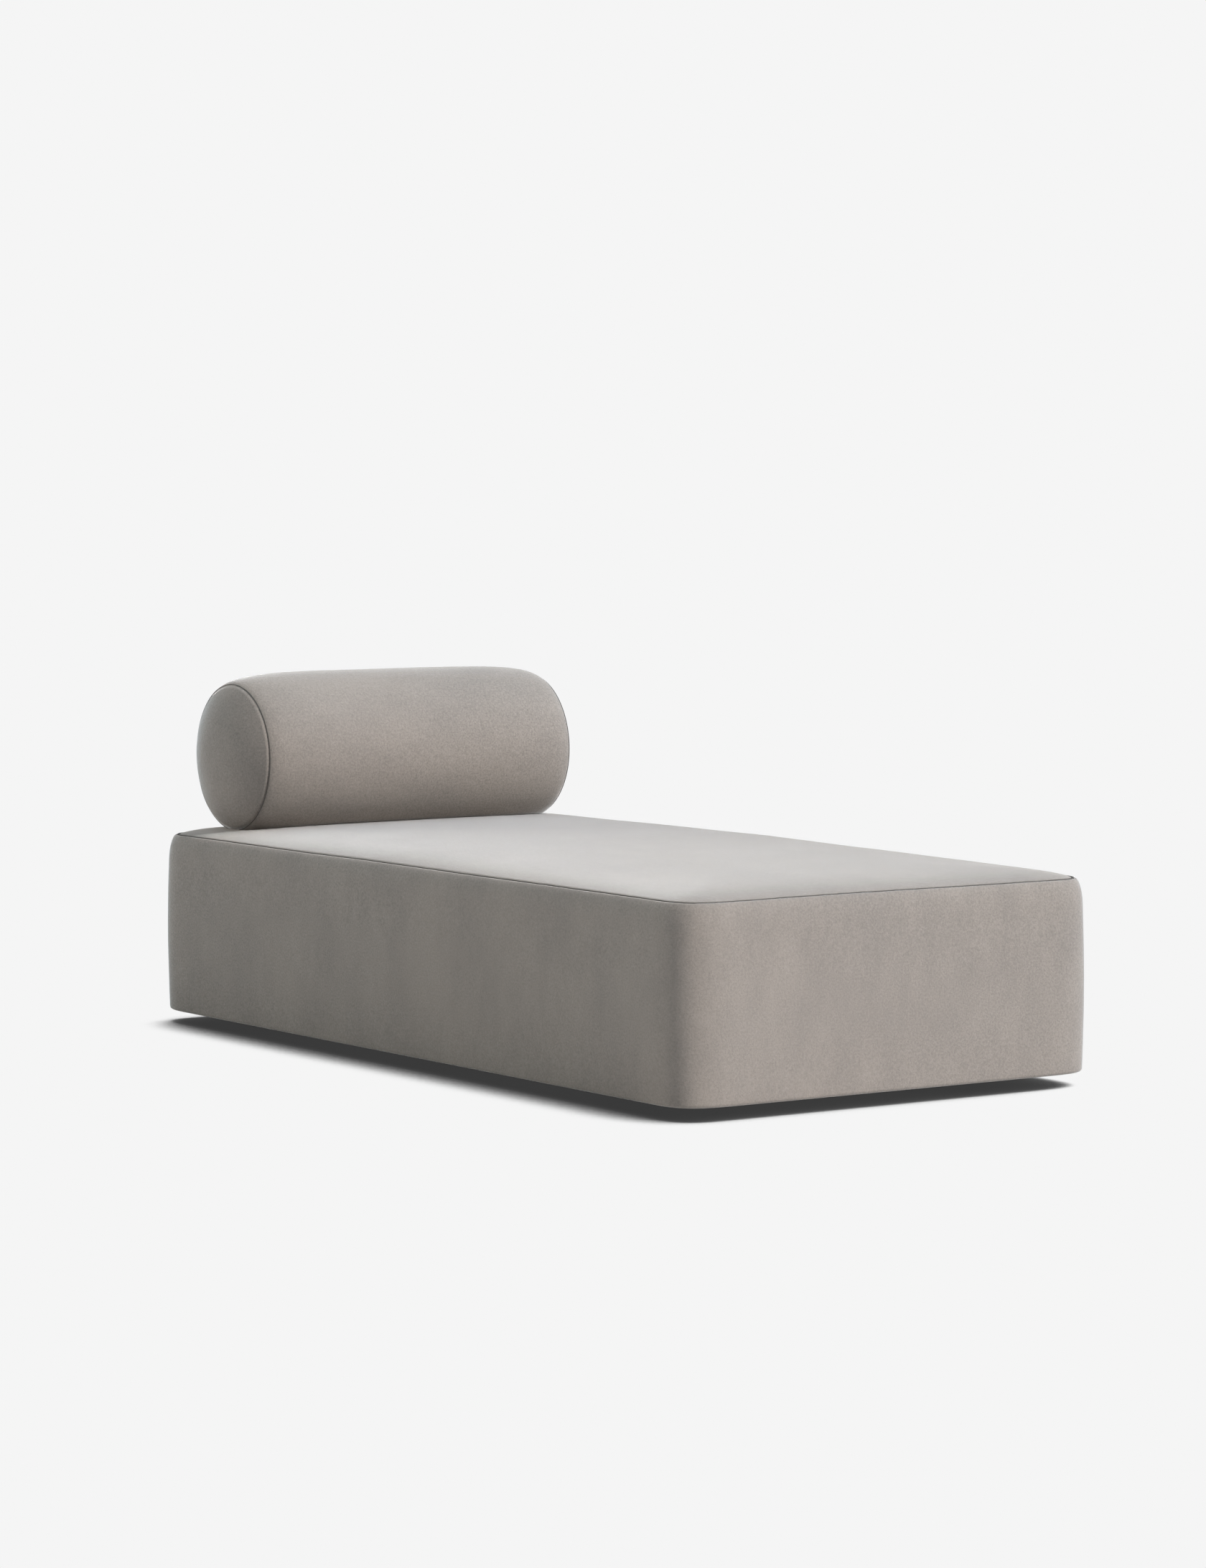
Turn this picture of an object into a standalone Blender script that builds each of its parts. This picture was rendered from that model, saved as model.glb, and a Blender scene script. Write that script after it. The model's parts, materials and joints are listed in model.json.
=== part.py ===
"""Upholstered daybed: a velvet-covered block on six recessed feet, with a loose bolster at the head.

Metres, +Z up. X runs along the bed with the head at -X, Y runs across it with the front at -Y.
The origin is on the floor under the middle of the bed.
"""

import math

import bmesh
import bpy
from mathutils import Matrix, Vector

# Overall size of the upholstered block, measured over its cover.
LENGTH = 2.000
WIDTH = 1.000
CORNER_RADIUS = 0.080
SEAM_HEIGHT = 0.408
SEAM_INSET = 0.020
CROWN = 0.024
CROWN_REACH = 0.030
TOP_FLAT_INSET = 0.380
SIDE_BULGE = 0.003
SHOULDER_DROP = 0.060
SHOULDER_SWEEP = math.radians(84)
BOTTOM_ROUND = 0.007
HEM_WIDTH = 0.045

# Gap kept between faces that touch on the real object.
GAP = 0.0003

# Soft layers, from the outside in.
COVER = 0.0015
WADDING = 0.005
SIDE_FOAM = 0.020
TOP_FOAM = 0.045

# Timber.
RAIL_THICKNESS = 0.022
RAIL_HEIGHT = 0.140
POST_SIDE = 0.072
BEARER_WIDTH = 0.100
BEARER_THICKNESS = 0.022
BEAM_THICKNESS = 0.030
SLAT_COUNT = 12
SLAT_WIDTH = 0.090
SLAT_THICKNESS = 0.018
TIMBER_ROUND = 0.002

# Feet.
FOOT_HEIGHT = 0.025
GLIDE_THICKNESS = 0.003
GLIDE_RADIUS = 0.022
FOOT_TOP_RADIUS = 0.032
FOOT_BOTTOM_RADIUS = 0.025
FOOT_SPACING_X = 0.760
FOOT_OFFSET_Y = 0.290
DUST_COVER = 0.001
DUST_COVER_INSET = 0.025

# Bolts that hold the feet.
BOLT_RADIUS = 0.003
BOLT_HEAD_RADIUS = 0.0065
BOLT_HEAD_HEIGHT = 0.004
BOLT_GRIP = 0.018

# Bolster. Its own weight presses its underside flat.
BOLSTER_RADIUS = 0.180
BOLSTER_SEAM_Y = 0.384
BOLSTER_SHOULDER_FALL = 0.022
BOLSTER_DOME = 0.040
BOLSTER_SHOULDER_START = 0.240
BOLSTER_FLATTENING = 0.032
BOLSTER_X = BOLSTER_RADIUS - LENGTH / 2
BOLSTER_Y = -0.020
POLE_RADIUS = 0.020

# Zip along the lower back of the bolster, in the middle of one of its tube's sides.
ZIP_SIDE = 22
ZIP_LENGTH = 0.460
ZIP_TAPE_WIDTH = 0.012
ZIP_TAPE = 0.0008
ZIP_CHAIN_WIDTH = 0.004
ZIP_CHAIN = 0.0012
SLIDER_LENGTH = 0.010
SLIDER_WALL = 0.0012
SLIDER_CLEARANCE = 0.0004
EAR_HEIGHT = 0.0040
PULL_PIN_RADIUS = 0.0006
PULL_LENGTH = 0.024
PULL_WIDTH = 0.004
PULL_THICKNESS = 0.0014
PULL_EYE_RADIUS = 0.0016

# Smoothness of the round shapes.
CORNER_STEPS = 5
SHOULDER_STEPS = 4
SIDE_STEPS = 4
CROWN_STEPS = 5
ROUND_SIDES = 12
FOOT_SIDES = 20
BOLSTER_SIDES = 24
BOLSTER_SHOULDER_STEPS = 4
DOME_STEPS = 4
BOTTOM_STEPS = 3
WALL_START = BOTTOM_STEPS + 1

# Heights that follow from the sizes above.
DUST_COVER_BOTTOM = FOOT_HEIGHT + GAP
HEM_BOTTOM = DUST_COVER_BOTTOM + DUST_COVER + GAP
FRAME_BOTTOM = HEM_BOTTOM + COVER + GAP
RAIL_TOP = FRAME_BOTTOM + RAIL_HEIGHT
BEARER_TOP = FRAME_BOTTOM + BEARER_THICKNESS
SLAT_BOTTOM = RAIL_TOP + GAP
SLAT_TOP = SLAT_BOTTOM + SLAT_THICKNESS
CROWN_TOP = SEAM_HEIGHT + CROWN
FOAM_TOP = CROWN_TOP - COVER - WADDING - 2 * GAP
BASE_FOAM_TOP = FOAM_TOP - TOP_FOAM - GAP
WADDING_DEPTH = COVER + GAP
SIDE_FOAM_DEPTH = WADDING_DEPTH + WADDING + GAP
CORE_INSET = SIDE_FOAM_DEPTH + SIDE_FOAM + GAP
BOLSTER_SEAM_RADIUS = BOLSTER_RADIUS - BOLSTER_SHOULDER_FALL
BOLSTER_FLAT = BOLSTER_RADIUS - BOLSTER_FLATTENING
BOLSTER_Z = CROWN_TOP + GAP + BOLSTER_FLAT
INNER_X = LENGTH / 2 - CORE_INSET - RAIL_THICKNESS
INNER_Y = WIDTH / 2 - CORE_INSET - RAIL_THICKNESS
FLAT_EDGE = -math.asin(BOLSTER_FLAT / BOLSTER_RADIUS)
BOLSTER_SIDE_ANGLE = (math.pi - 2 * FLAT_EDGE) / BOLSTER_SIDES
FILLING_END = BOLSTER_SEAM_Y - 2 * COVER - WADDING


# ---------------------------------------------------------------- scene helpers


def clear_scene():
    for obj in list(bpy.data.objects):
        bpy.data.objects.remove(obj)


def new_collection(name):
    collection = bpy.data.collections.new(name)
    bpy.context.scene.collection.children.link(collection)
    return collection


def make_material(name, colour, roughness, metallic=0.0):
    material = bpy.data.materials.new(name)
    material.use_nodes = True
    shader = material.node_tree.nodes["Principled BSDF"]
    shader.inputs["Base Color"].default_value = (*colour, 1)
    shader.inputs["Roughness"].default_value = roughness
    shader.inputs["Metallic"].default_value = metallic
    return material


def add_object(name, mesh, material, collection):
    obj = bpy.data.objects.new(name, mesh)
    collection.objects.link(obj)
    mesh.materials.append(material)
    return obj


def mesh_from(bm, name, smooth_angle=35):
    bmesh.ops.recalc_face_normals(bm, faces=bm.faces)
    mesh = bpy.data.meshes.new(name)
    bm.to_mesh(mesh)
    bm.free()
    mesh.shade_smooth()
    mesh.set_sharp_from_angle(angle=math.radians(smooth_angle))
    return mesh


def add_round_edges(obj, width):
    bevel = obj.modifiers.new("round_edges", "BEVEL")
    bevel.width = width
    bevel.segments = 1
    bevel.limit_method = "ANGLE"
    return obj


def add_cut(obj, cutter):
    cut = obj.modifiers.new("cut", "BOOLEAN")
    cut.operation = "DIFFERENCE"
    cut.solver = "EXACT"
    cut.object = cutter
    return obj


# ---------------------------------------------------------------- shapes


def box_mesh(name, size):
    bm = bmesh.new()
    bmesh.ops.create_cube(bm, size=1)
    bmesh.ops.scale(bm, vec=size, verts=bm.verts)
    return mesh_from(bm, name)


def add_box(name, low, high, material, collection):
    size = [b - a for a, b in zip(low, high)]
    obj = add_object(name, box_mesh(name, size), material, collection)
    obj.location = [(a + b) / 2 for a, b in zip(low, high)]
    return obj


def add_loft(bm, rings, loop=False):
    """Joins rings of points with quads. Without loop, both ends are capped."""
    rows = [[bm.verts.new(point) for point in ring] for ring in rings]
    pairs = list(zip(rows, rows[1:]))
    if loop:
        pairs.append((rows[-1], rows[0]))
    else:
        bm.faces.new(rows[0])
        bm.faces.new(rows[-1])
    for lower, upper in pairs:
        for i, point in enumerate(lower):
            j = (i + 1) % len(lower)
            bm.faces.new((point, lower[j], upper[j], upper[i]))


def loft_mesh(name, rings, loop=False):
    bm = bmesh.new()
    add_loft(bm, rings, loop)
    return mesh_from(bm, name)


def block_outline(inset, height):
    """The block's rounded rectangle, drawn in by inset, at a height."""
    radius = max(CORNER_RADIUS - inset, TIMBER_ROUND)
    half_x, half_y = LENGTH / 2 - inset - radius, WIDTH / 2 - inset - radius
    points = []
    for quarter, (sign_x, sign_y) in enumerate(((1, 1), (-1, 1), (-1, -1), (1, -1))):
        for step in range(CORNER_STEPS + 1):
            angle = math.radians(90) * (quarter + step / CORNER_STEPS)
            x = sign_x * half_x + radius * math.cos(angle)
            y = sign_y * half_y + radius * math.sin(angle)
            points.append((x, y, height))
    return points


def top_height(inset):
    """Height of the crowned top over a point that is inset from the block's side."""
    rise = 1 - math.exp(-(inset - SEAM_INSET) / CROWN_REACH)
    return SEAM_HEIGHT + CROWN * rise


def side_profile():
    """(inset, height) from the hem under the frame, up the side and over the shoulder to the seam."""
    edge = SIDE_BULGE
    points = [(HEM_WIDTH, HEM_BOTTOM), (edge + BOTTOM_ROUND, HEM_BOTTOM)]
    for step in range(1, BOTTOM_STEPS):
        angle = math.radians(90) * step / BOTTOM_STEPS
        across, up = 1 - math.sin(angle), 1 - math.cos(angle)
        points.append((edge + BOTTOM_ROUND * across, HEM_BOTTOM + BOTTOM_ROUND * up))
    low, high = HEM_BOTTOM + BOTTOM_ROUND, SEAM_HEIGHT - SHOULDER_DROP
    for step in range(SIDE_STEPS + 1):
        share = step / SIDE_STEPS
        points.append((SIDE_BULGE * (2 * share - 1) ** 2, low + (high - low) * share))
    for step in range(1, SHOULDER_STEPS + 1):
        angle = SHOULDER_SWEEP * step / SHOULDER_STEPS
        across = (1 - math.cos(angle)) / (1 - math.cos(SHOULDER_SWEEP))
        up = math.sin(angle) / math.sin(SHOULDER_SWEEP)
        points.append((edge + (SEAM_INSET - edge) * across, high + SHOULDER_DROP * up))
    return points


def top_profile():
    """(inset, height) from the seam to the flat middle of the top."""
    points = []
    for step in range(CROWN_STEPS + 1):
        share = (step / CROWN_STEPS) ** 2
        inset = SEAM_INSET + (TOP_FLAT_INSET - SEAM_INSET) * share
        points.append((inset, top_height(inset)))
    return points


def pushed_in(profile, depth):
    """The profile moved towards the inside of the block by depth, square to itself."""
    moved = []
    for i, (inset, height) in enumerate(profile):
        before, after = profile[max(i - 1, 0)], profile[min(i + 1, len(profile) - 1)]
        along = Vector((after[0] - before[0], after[1] - before[1])).normalized()
        moved.append((inset + depth * along.y, height - depth * along.x))
    return moved


def cut_at(profile, height):
    """The part of a rising profile that is below a height, and its point at that height."""
    kept = [point for point in profile if point[1] < height]
    (inset, low), (next_inset, high) = kept[-1], profile[len(kept)]
    share = (height - low) / (high - low)
    return kept + [(inset + (next_inset - inset) * share, height)]


def outlines(profile):
    return [block_outline(inset, height) for inset, height in profile]


def add_disc(name, spot, radius, height, top_radius, material, collection):
    """A round piece, or a cone cut short, standing on spot."""
    bm = bmesh.new()
    bmesh.ops.create_cone(
        bm, cap_ends=True, segments=FOOT_SIDES, radius1=radius, radius2=top_radius, depth=height
    )
    obj = add_object(name, mesh_from(bm, name), material, collection)
    obj.location = Vector(spot) + Vector((0, 0, height / 2))
    return obj


def turned_mesh(name, steps):
    """A turned solid along +Z. Its steps are (height, radius), from one end to the other."""
    rings = []
    for height, radius in steps:
        angles = [2 * math.pi * side / ROUND_SIDES for side in range(ROUND_SIDES)]
        rings.append([(radius * math.cos(angle), radius * math.sin(angle), height) for angle in angles])
    return loft_mesh(name, rings)


def as_cutter(obj, collection):
    collection.objects.link(obj)
    obj.hide_render = True
    obj.display_type = "WIRE"
    return obj


# ---------------------------------------------------------------- timber frame


def slat_positions():
    reach = LENGTH / 2 - CORNER_RADIUS - SLAT_WIDTH / 2
    pitch = 2 * reach / (SLAT_COUNT - 1)
    return [-reach + pitch * i for i in range(SLAT_COUNT)]


def foot_positions():
    return [(x, y) for x in (-FOOT_SPACING_X, 0, FOOT_SPACING_X) for y in (-FOOT_OFFSET_Y, FOOT_OFFSET_Y)]


def add_frame(parts, holes, timber):
    outer_x, outer_y = LENGTH / 2 - CORE_INSET, WIDTH / 2 - CORE_INSET
    rail_x, rail_y = outer_x - POST_SIDE - GAP, outer_y - POST_SIDE - GAP
    for name, sign in (("side_rail_front", -1), ("side_rail_back", 1)):
        y = sorted((sign * INNER_Y, sign * outer_y))
        rail = add_box(name, (-rail_x, y[0], FRAME_BOTTOM), (rail_x, y[1], RAIL_TOP), timber, parts)
        add_round_edges(rail, TIMBER_ROUND)
    for name, sign in (("end_rail_head", -1), ("end_rail_foot", 1)):
        x = sorted((sign * INNER_X, sign * outer_x))
        rail = add_box(name, (x[0], -rail_y, FRAME_BOTTOM), (x[1], rail_y, RAIL_TOP), timber, parts)
        add_round_edges(rail, TIMBER_ROUND)

    for end, sign_x in (("head", -1), ("foot", 1)):
        for side, sign_y in (("front", -1), ("back", 1)):
            add_post(f"corner_post_{end}_{side}", sign_x, sign_y, timber, parts)

    half, reach = BEARER_WIDTH / 2, INNER_Y - GAP
    for number, (name, x) in enumerate((("head", -FOOT_SPACING_X), ("middle", 0), ("foot", FOOT_SPACING_X))):
        low, high = (x - half, -reach, FRAME_BOTTOM), (x + half, reach, BEARER_TOP)
        bearer = add_box(f"foot_bearer_{name}", low, high, timber, parts)
        for hole in holes[2 * number : 2 * number + 2]:
            add_cut(bearer, hole)

    half, reach = BEAM_THICKNESS / 2, INNER_X - GAP
    low, high = (-reach, -half, BEARER_TOP + GAP), (reach, half, RAIL_TOP)
    add_round_edges(add_box("centre_beam", low, high, timber, parts), TIMBER_ROUND)

    slat_mesh = box_mesh("slat", (SLAT_WIDTH, 2 * outer_y, SLAT_THICKNESS))
    for number, x in enumerate(slat_positions(), 1):
        slat = add_object(f"slat_{number:02d}", slat_mesh.copy(), timber, parts)
        slat.location = (x, 0, (SLAT_BOTTOM + SLAT_TOP) / 2)
        add_round_edges(slat, TIMBER_ROUND)


def add_post(name, sign_x, sign_y, material, collection):
    """A square corner post whose outer edge is rounded to carry the upholstery."""
    radius = CORNER_RADIUS - CORE_INSET
    outer_x, outer_y = LENGTH / 2 - CORE_INSET, WIDTH / 2 - CORE_INSET
    inner_x, inner_y = outer_x - POST_SIDE, outer_y - POST_SIDE
    plan = [(inner_x, inner_y), (outer_x, inner_y)]
    for step in range(CORNER_STEPS + 1):
        angle = math.radians(90) * step / CORNER_STEPS
        x, y = radius * math.cos(angle), radius * math.sin(angle)
        plan.append((outer_x - radius + x, outer_y - radius + y))
    plan.append((inner_x, outer_y))
    rings = [[(sign_x * x, sign_y * y, z) for x, y in plan] for z in (FRAME_BOTTOM, RAIL_TOP)]
    return add_object(name, loft_mesh(name, rings), material, collection)


# ---------------------------------------------------------------- feet and underside


def bolt_holes(cutters):
    """The holes that the bolts need, one over each foot."""
    holes = []
    for number, (x, y) in enumerate(foot_positions(), 1):
        hole = bpy.data.objects.new(f"bolt_hole_{number}", turned_mesh("bolt_hole", hole_steps()))
        hole.location = (x, y, 0)
        holes.append(as_cutter(hole, cutters))
    return holes


def bolt_steps():
    """A bolt, from the underside of its head up to its end in the bearer."""
    head = GLIDE_THICKNESS + 2 * GAP
    neck = head + BOLT_HEAD_HEIGHT
    return (
        (head, BOLT_HEAD_RADIUS),
        (neck, BOLT_HEAD_RADIUS),
        (neck, BOLT_RADIUS),
        (FOOT_HEIGHT + BOLT_GRIP, BOLT_RADIUS),
    )


def hole_steps():
    """The hole for a bolt, open under its head and wider than it by the gap."""
    shoulder = GLIDE_THICKNESS + BOLT_HEAD_HEIGHT + 3 * GAP
    return (
        (0, BOLT_HEAD_RADIUS + GAP),
        (shoulder, BOLT_HEAD_RADIUS + GAP),
        (shoulder, BOLT_RADIUS + GAP),
        (FOOT_HEIGHT + BOLT_GRIP + GAP, BOLT_RADIUS + GAP),
    )


def add_feet(parts, holes, plastic, felt, steel):
    low, high = GLIDE_THICKNESS + GAP, FOOT_HEIGHT
    for number, (x, y) in enumerate(foot_positions(), 1):
        foot = add_disc(
            f"foot_{number}", (x, y, low), FOOT_BOTTOM_RADIUS, high - low, FOOT_TOP_RADIUS, plastic, parts
        )
        add_cut(foot, holes[number - 1])
        add_disc(f"glide_{number}", (x, y, 0), GLIDE_RADIUS, GLIDE_THICKNESS, GLIDE_RADIUS, felt, parts)
        bolt = add_object(f"foot_bolt_{number}", turned_mesh("foot_bolt", bolt_steps()), steel, parts)
        bolt.location = (x, y, 0)


def add_dust_cover(parts, holes, cloth):
    heights = (DUST_COVER_BOTTOM, DUST_COVER_BOTTOM + DUST_COVER)
    rings = outlines([(DUST_COVER_INSET, height) for height in heights])
    cover = add_object("dust_cover", loft_mesh("dust_cover", rings), cloth, parts)
    for hole in holes:
        add_cut(cover, hole)


# ---------------------------------------------------------------- upholstery of the block


def add_foam(parts, firm, soft):
    low, high = SLAT_TOP + GAP, BASE_FOAM_TOP
    rings = outlines([(CORE_INSET, low), (CORE_INSET, high)])
    add_object("base_foam", loft_mesh("base_foam", rings), firm, parts)

    start = high + GAP
    under_top = pushed_in(side_profile() + top_profile()[1:], SIDE_FOAM_DEPTH)
    crown = [point for point in under_top if point[0] > CORE_INSET + SIDE_FOAM]
    rings = outlines([(CORE_INSET, start), (CORE_INSET, start + TIMBER_ROUND), *crown])
    add_object("top_foam", loft_mesh("top_foam", rings), soft, parts)

    wall = cut_at(under_top[WALL_START:], start)
    foot = [(CORE_INSET - GAP, start), (CORE_INSET - GAP, wall[0][1])]
    add_object("side_foam", loft_mesh("side_foam", outlines(wall + foot), loop=True), soft, parts)


def add_cover(parts, velvet, wadding):
    side, top = side_profile(), top_profile()
    band = side[:-1] + [(SEAM_INSET - GAP, SEAM_HEIGHT)]
    rings = outlines(band + pushed_in(band, COVER)[::-1])
    add_object("side_cover_band", loft_mesh("side_cover_band", rings, loop=True), velvet, parts)

    panel = [(SEAM_INSET + GAP, top_height(SEAM_INSET + GAP))] + top[1:]
    rings = outlines(panel[::-1] + pushed_in(panel, COVER))
    add_object("top_cover_panel", loft_mesh("top_cover_panel", rings), velvet, parts)

    skin = side + top[1:]
    outer = pushed_in(skin, WADDING_DEPTH)[WALL_START:]
    inner = pushed_in(skin, WADDING_DEPTH + WADDING)[WALL_START:]
    rings = outlines(outer[::-1] + inner)
    add_object("wadding_wrap", loft_mesh("wadding_wrap", rings), wadding, parts)


# ---------------------------------------------------------------- bolster


def bolster_tube_radius(y):
    """Radius of the bolster's tube at a distance from its middle."""
    share = max(0.0, (abs(y) - BOLSTER_SHOULDER_START) / (BOLSTER_SEAM_Y - BOLSTER_SHOULDER_START))
    return BOLSTER_RADIUS - (BOLSTER_RADIUS - BOLSTER_SEAM_RADIUS) * share**2.4


def dome_reach(radius):
    """Distance from the middle to the domed end at a radius."""
    return BOLSTER_SEAM_Y + BOLSTER_DOME * (1 - (radius / BOLSTER_SEAM_RADIUS) ** 2.2)


def bolster_ring(y, radius, depth=0.0):
    """One section across the bolster, with the flat underside, drawn in by depth."""
    ring = []
    for side in range(BOLSTER_SIDES + 1):
        angle = FLAT_EDGE + BOLSTER_SIDE_ANGLE * side
        x, z = (radius - depth) * math.cos(angle), (radius - depth) * math.sin(angle)
        ring.append((BOLSTER_X + x, BOLSTER_Y + y, BOLSTER_Z + z))
    return ring


def tube_stations(*ends):
    """Distances along the tube, closer together over the shoulders, where all its layers share them."""
    span = FILLING_END - BOLSTER_SHOULDER_START
    steps = range(BOLSTER_SHOULDER_STEPS + 1)
    half = [BOLSTER_SHOULDER_START + span * step / BOLSTER_SHOULDER_STEPS for step in steps]
    half += ends
    return [-y for y in reversed(half)] + half


def dome_radii():
    span = BOLSTER_SEAM_RADIUS - POLE_RADIUS
    return [BOLSTER_SEAM_RADIUS - span * step / DOME_STEPS for step in range(DOME_STEPS + 1)]


def whole_bolster(depth):
    """Rings of the whole bolster drawn in by depth, from one pole to the other."""
    tube = [bolster_ring(y, bolster_tube_radius(y), depth) for y in tube_stations()]
    caps = [(dome_reach(r) - depth, r) for r in dome_radii()[1:] if r > depth + POLE_RADIUS / 2]
    near = [bolster_ring(-y, r, depth) for y, r in reversed(caps)]
    far = [bolster_ring(y, r, depth) for y, r in caps]
    return near + tube + far


def add_bolster(parts, cutters, velvet, wadding, foam):
    stations = tube_stations(BOLSTER_SEAM_Y - COVER)
    outer = [bolster_ring(y, bolster_tube_radius(y)) for y in stations]
    inner = [bolster_ring(y, bolster_tube_radius(y), COVER) for y in reversed(stations)]
    sleeve = loft_mesh("bolster_cover_tube", outer + inner, loop=True)
    tube = add_object("bolster_cover_tube", sleeve, velvet, parts)
    slot_size = (ZIP_TAPE_WIDTH + 2 * GAP, ZIP_LENGTH + 2 * GAP, 4 * COVER)
    slot = place_on_zip(bpy.data.objects.new("zip_slot", box_mesh("zip_slot", slot_size)), 0, 0)
    add_cut(tube, as_cutter(slot, cutters))

    for name, sign in (("front", -1), ("back", 1)):
        outside = [bolster_ring(sign * (dome_reach(r) + GAP), r) for r in dome_radii()]
        inside = [bolster_ring(sign * (dome_reach(r) + GAP - COVER), r) for r in dome_radii()]
        add_object(f"bolster_end_{name}", loft_mesh("bolster_end", outside[::-1] + inside), velvet, parts)

    wrap = COVER + GAP
    add_object("bolster_core", loft_mesh("bolster_core", whole_bolster(wrap + WADDING + GAP)), foam, parts)
    stations = tube_stations()
    outer = [bolster_ring(y, bolster_tube_radius(y), wrap) for y in stations]
    inner = [bolster_ring(y, bolster_tube_radius(y), wrap + WADDING) for y in reversed(stations)]
    add_object("bolster_wadding", loft_mesh("bolster_wadding", outer + inner, loop=True), wadding, parts)


def place_on_zip(obj, along, out):
    """Puts obj on the zip's line: along it from its middle, and out from the cover's outer face."""
    angle = FLAT_EDGE + BOLSTER_SIDE_ANGLE * (ZIP_SIDE + 0.5)
    radius = BOLSTER_RADIUS * math.cos(BOLSTER_SIDE_ANGLE / 2) + out
    x, z = radius * math.cos(angle), radius * math.sin(angle)
    obj.location = (BOLSTER_X + x, BOLSTER_Y + along, BOLSTER_Z + z)
    obj.rotation_euler = (0, math.radians(90) - angle, 0)
    return obj


def add_zip_piece(name, size, along, out, material, collection):
    obj = add_object(name, box_mesh(name, size), material, collection)
    return place_on_zip(obj, along, out)


def slider_mesh():
    """The slider's body with its channel over the chain, and two ears for the pull's pin."""
    channel = ZIP_CHAIN_WIDTH / 2 + SLIDER_CLEARANCE
    edge = channel + SLIDER_WALL
    ceiling = ZIP_CHAIN + SLIDER_CLEARANCE
    roof = ceiling + SLIDER_WALL
    top, gap = roof + EAR_HEIGHT, PULL_WIDTH / 2 + GAP
    half_outline = [(channel, ceiling), (channel, 0), (edge, 0), (edge, top), (gap, top), (gap, roof)]
    outline = half_outline + [(-x, z) for x, z in reversed(half_outline)]
    half = SLIDER_LENGTH / 2
    return loft_mesh("zip_slider", [[(x, y, z) for x, z in outline] for y in (-half, half)])


def pull_mesh():
    """The pull as it hangs: a blade along Z, and the eye at its end that turns on the pin along X."""
    outline = []
    eye, half = PULL_EYE_RADIUS, PULL_THICKNESS / 2
    start = math.asin(half / eye)
    for step in range(ROUND_SIDES + 1):
        angle = start + (2 * math.pi - 2 * start) * step / ROUND_SIDES
        outline.append((eye * math.cos(angle), eye * math.sin(angle)))
    outline += [(PULL_LENGTH, -half), (PULL_LENGTH, half)]
    half = PULL_WIDTH / 2
    return loft_mesh("zip_pull", [[(x, y, z) for z, y in outline] for x in (-half, half)])


def pin_mesh(name, radius, length):
    """A pin along X."""
    bm = bmesh.new()
    bmesh.ops.create_cone(
        bm, cap_ends=True, segments=ROUND_SIDES, radius1=radius, radius2=radius, depth=length
    )
    bmesh.ops.rotate(bm, verts=bm.verts, matrix=Matrix.Rotation(math.radians(90), 3, "Y"))
    return mesh_from(bm, name)


def add_zip(parts, cutters, tape, metal):
    tape_out = -COVER / 2
    tape_size = (ZIP_TAPE_WIDTH, ZIP_LENGTH, ZIP_TAPE)
    add_zip_piece("zip_tape", tape_size, 0, tape_out, tape, parts)
    chain_bottom = tape_out + ZIP_TAPE / 2 + GAP
    chain_size = (ZIP_CHAIN_WIDTH, ZIP_LENGTH, ZIP_CHAIN)
    add_zip_piece("zip_chain", chain_size, 0, chain_bottom + ZIP_CHAIN / 2, metal, parts)

    closed_end = SLIDER_LENGTH - ZIP_LENGTH / 2
    roof = chain_bottom + ZIP_CHAIN + SLIDER_CLEARANCE + SLIDER_WALL
    pin_out = roof + EAR_HEIGHT / 2
    width = ZIP_CHAIN_WIDTH + 2 * SLIDER_CLEARANCE + 2 * SLIDER_WALL
    hole = bpy.data.objects.new("pin_hole", pin_mesh("pin_hole", PULL_PIN_RADIUS + GAP, 2 * width))
    as_cutter(place_on_zip(hole, closed_end, pin_out), cutters)

    slider = add_object("zip_slider", slider_mesh(), metal, parts)
    add_cut(place_on_zip(slider, closed_end, chain_bottom), hole)
    pull = add_object("zip_pull", pull_mesh(), metal, parts)
    add_cut(place_on_zip(pull, closed_end, pin_out), hole)
    pin = add_object("zip_pull_pin", pin_mesh("zip_pull_pin", PULL_PIN_RADIUS, width), metal, parts)
    place_on_zip(pin, closed_end, pin_out)


# ---------------------------------------------------------------- assembly


def build():
    clear_scene()
    parts, cutters = new_collection("daybed"), new_collection("cutters")
    velvet = make_material("velvet", (0.42, 0.39, 0.36), 0.9)
    wadding = make_material("wadding", (0.9, 0.9, 0.88), 1.0)
    firm_foam = make_material("firm_foam", (0.55, 0.62, 0.70), 0.95)
    soft_foam = make_material("soft_foam", (0.90, 0.86, 0.70), 0.95)
    timber = make_material("timber", (0.74, 0.58, 0.38), 0.6)
    steel = make_material("zinc_steel", (0.70, 0.70, 0.68), 0.35, 1.0)
    plastic = make_material("black_plastic", (0.03, 0.03, 0.03), 0.45)
    felt = make_material("felt", (0.10, 0.10, 0.10), 1.0)
    cloth = make_material("dust_cloth", (0.05, 0.05, 0.05), 0.95)
    tape = make_material("zip_tape", (0.36, 0.34, 0.31), 0.9)
    nickel = make_material("nickel", (0.60, 0.58, 0.55), 0.3, 1.0)

    holes = bolt_holes(cutters)
    add_frame(parts, holes, timber)
    add_feet(parts, holes, plastic, felt, steel)
    add_dust_cover(parts, holes, cloth)
    add_foam(parts, firm_foam, soft_foam)
    add_cover(parts, velvet, wadding)
    add_bolster(parts, cutters, velvet, wadding, soft_foam)
    add_zip(parts, cutters, tape, nickel)


build()
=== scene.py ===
import json
import math

import bmesh
import bpy
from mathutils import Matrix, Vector, noise


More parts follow.
